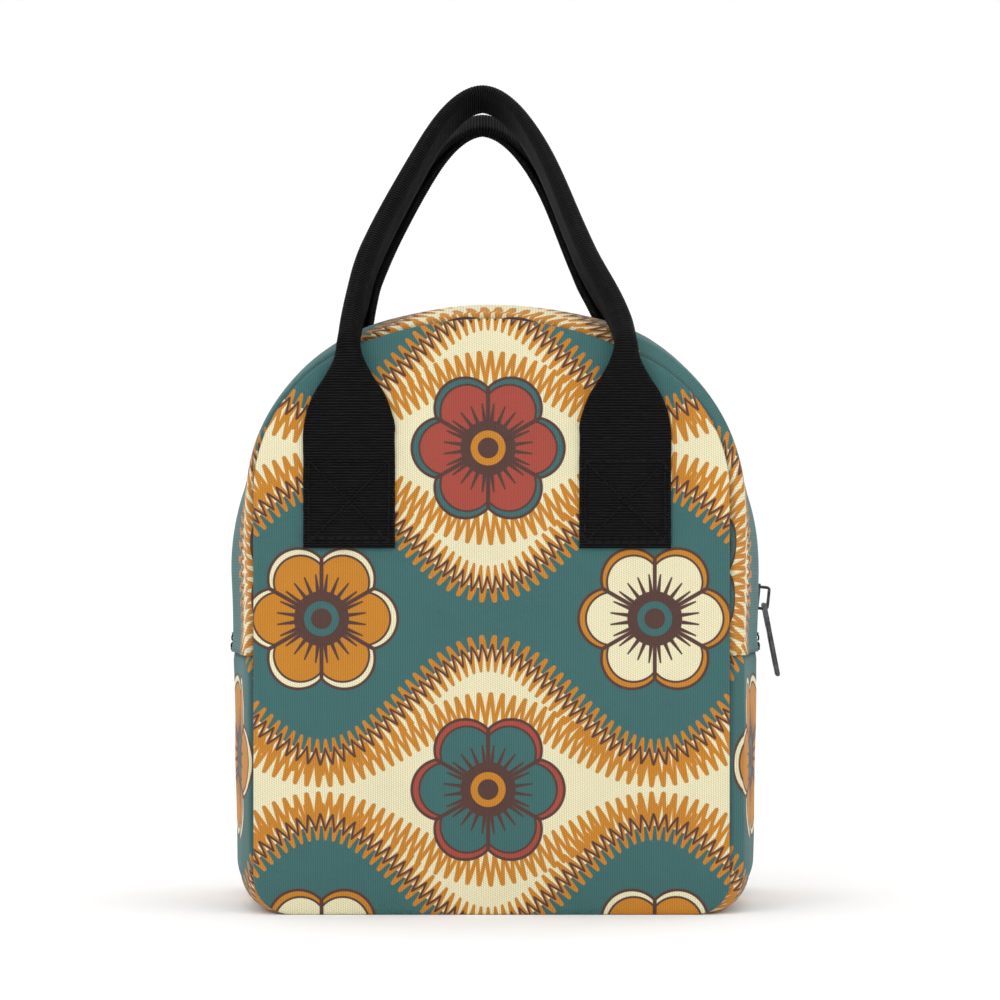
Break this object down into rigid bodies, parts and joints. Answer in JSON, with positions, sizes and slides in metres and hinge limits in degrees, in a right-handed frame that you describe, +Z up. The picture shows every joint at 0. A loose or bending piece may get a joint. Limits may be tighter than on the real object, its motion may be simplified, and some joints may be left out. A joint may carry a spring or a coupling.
{
  "type": "insulated lunch bag",
  "caption": "Soft insulated lunch bag with arched printed front and back panels, a gusset zipped over the top, halves that fold open, and webbing carry handles.",
  "frame": {"origin": "middle of the bag's underside, on the surface it stands on", "axes": "+Z up; the front panel faces -Y; +X is the side where the zip's slider is parked"},
  "size_m": [0.2339, 0.151, 0.3488],
  "materials": {
    "printed_canvas": "woven polyester canvas with a printed pattern",
    "foam": "closed-cell foam padding",
    "lining": "wipe-clean foil-look lining",
    "binding_tape": "black grosgrain binding",
    "webbing": "ribbed black webbing",
    "thread": "black sewing thread",
    "zip_tape": "black woven zip tape",
    "zip_coil": "black nylon coil",
    "gunmetal": "dark plated metal"
  },
  "bodies": {
    "base": {"back_binding_lower": "binding_tape", "back_fold_binding": "binding_tape", "back_fold_foam": "foam", "back_fold_lining": "lining", "back_fold_skin": "printed_canvas", "back_fold_tape": "zip_tape", "back_panel_lower_foam": "foam", "back_panel_lower_lining": "lining", "back_panel_lower_skin": "printed_canvas", "front_binding_lower": "binding_tape", "front_fold_binding": "binding_tape", "front_fold_foam": "foam", "front_fold_lining": "lining", "front_fold_skin": "printed_canvas", "front_fold_tape": "zip_tape", "front_panel_lower_foam": "foam", "front_panel_lower_lining": "lining", "front_panel_lower_skin": "printed_canvas", "lower_gusset_foam": "foam", "lower_gusset_lining": "lining", "lower_gusset_skin": "printed_canvas", "zip_bottom_stop": "zip_coil", "zip_end_stitching": "thread", "zip_gusset_ends_skin": "printed_canvas", "zip_tape_ends": "zip_tape", "zip_teeth_ends": "zip_coil", "zip_top_stops": "zip_coil"},
    "front_flap": {"front_binding_upper": "binding_tape", "front_gusset_foam": "foam", "front_gusset_lining": "lining", "front_gusset_skin": "printed_canvas", "front_handle_patch_left": "webbing", "front_handle_patch_right": "webbing", "front_handle_stitching": "thread", "front_panel_upper_foam": "foam", "front_panel_upper_lining": "lining", "front_panel_upper_skin": "printed_canvas", "front_zip_tape": "zip_tape", "front_zip_teeth": "zip_coil"},
    "back_flap": {"back_binding_upper": "binding_tape", "back_gusset_foam": "foam", "back_gusset_lining": "lining", "back_gusset_skin": "printed_canvas", "back_handle_patch_left": "webbing", "back_handle_patch_right": "webbing", "back_handle_stitching": "thread", "back_panel_upper_foam": "foam", "back_panel_upper_lining": "lining", "back_panel_upper_skin": "printed_canvas", "back_zip_tape": "zip_tape", "back_zip_teeth": "zip_coil"},
    "front_handle": {"front_handle": "webbing"},
    "back_handle": {"back_handle": "webbing"},
    "zip_slider": {"zip_slider": "gunmetal"},
    "zip_puller": {"zip_puller": "gunmetal"}
  },
  "joints": [
    {"name": "front_flap_fold", "type": "hinge", "parent": "base", "child": "front_flap", "pos_m": [0, 0, 0.139], "axis": [1, 0, 0], "range_deg": [0, 35], "deforming": ["front_fold_skin", "front_fold_foam", "front_fold_lining", "front_fold_binding", "front_fold_tape"]},
    {"name": "back_flap_fold", "type": "hinge", "parent": "base", "child": "back_flap", "pos_m": [0, 0, 0.139], "axis": [-1, 0, 0], "range_deg": [0, 35], "deforming": ["back_fold_skin", "back_fold_foam", "back_fold_lining", "back_fold_binding", "back_fold_tape"]},
    {"name": "front_handle_swing", "type": "hinge", "parent": "front_flap", "child": "front_handle", "pos_m": [-0.0033, -0.0672, 0.19], "axis": [1, 0, 0], "range_deg": [0, 125]},
    {"name": "back_handle_swing", "type": "hinge", "parent": "back_flap", "child": "back_handle", "pos_m": [-0.0033, 0.0672, 0.19], "axis": [-1, 0, 0], "range_deg": [0, 125]},
    {"name": "zip_slider_run", "type": "hinge", "parent": "base", "child": "zip_slider", "pos_m": [0, 0, 0.1415], "axis": [0, -1, 0], "range_deg": [0, 192]},
    {"name": "zip_puller_swing", "type": "hinge", "parent": "zip_slider", "child": "zip_puller", "pos_m": [0.11515, 0, 0.12638], "axis": [0, -1, 0], "range_deg": [-8, 150]}
  ]
}
